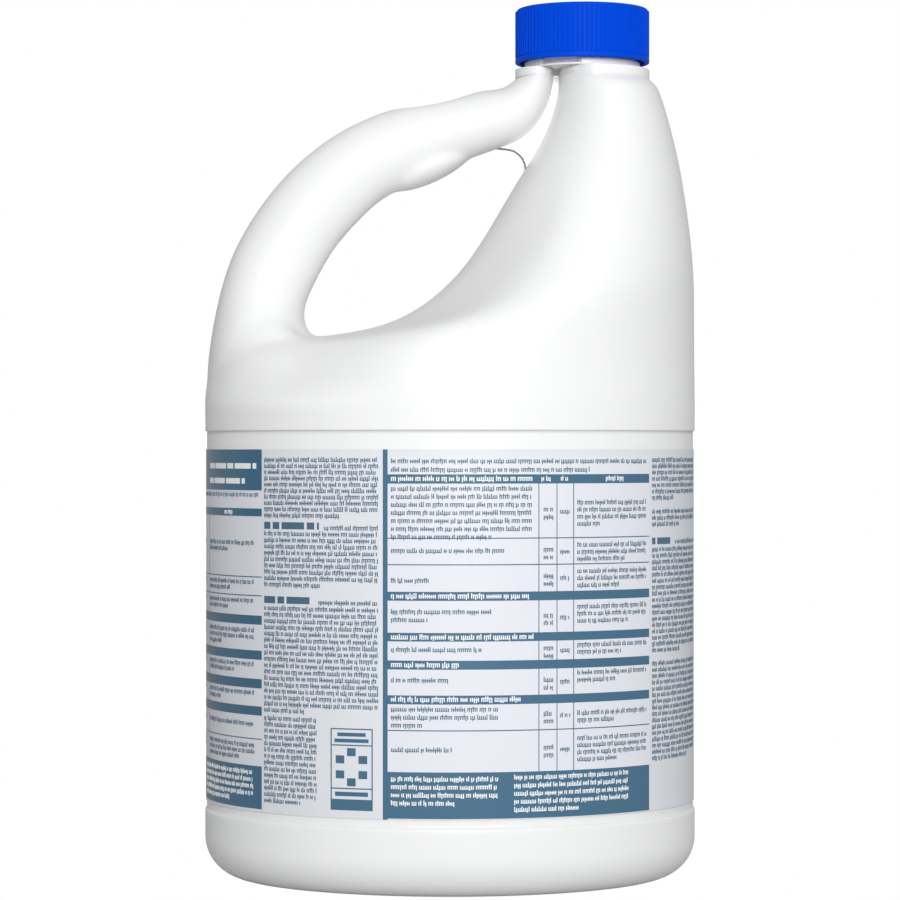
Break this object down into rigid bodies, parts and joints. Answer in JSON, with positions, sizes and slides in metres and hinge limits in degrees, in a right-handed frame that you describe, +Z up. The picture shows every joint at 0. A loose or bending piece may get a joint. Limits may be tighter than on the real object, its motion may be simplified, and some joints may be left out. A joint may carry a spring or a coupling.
{
  "type": "bleach bottle",
  "caption": "White blow-moulded jug with a hollow side handle, an offset screw neck under a ribbed blue cap, and a wrap-around printed label.",
  "frame": {"origin": "middle of the body on the standing plane", "axes": "+Z up through the body, +X towards the neck, -X towards the handle, +Y away from the viewer; the XZ plane is the mould's parting plane"},
  "size_m": [0.1688, 0.1437, 0.2986],
  "materials": {
    "bottle_plastic": "satin white blow-moulded polyethylene",
    "label_film": "printed film, semi-gloss",
    "liner_foam": "matte foam",
    "cap_plastic": "satin blue moulded polypropylene"
  },
  "bodies": {
    "bottle": {"bottle": "bottle_plastic", "label": "label_film"},
    "liner": {"cap_liner": "liner_foam"},
    "cap": {"cap": "cap_plastic"}
  },
  "joints": [
    {"name": "cap_lift", "type": "slide", "parent": "bottle", "child": "liner", "axis": [0, 0, 1], "range_m": [0, 0.0202]},
    {"name": "cap_turn", "type": "hinge", "parent": "liner", "child": "cap", "pos_m": [0.0457, 0, 0.2977], "axis": [0, 0, 1], "range_deg": [0, 1720]}
  ],
  "couplings": [
    {"joint": "cap_turn", "follows": "cap_lift", "rad_per_m": 1485.4}
  ]
}
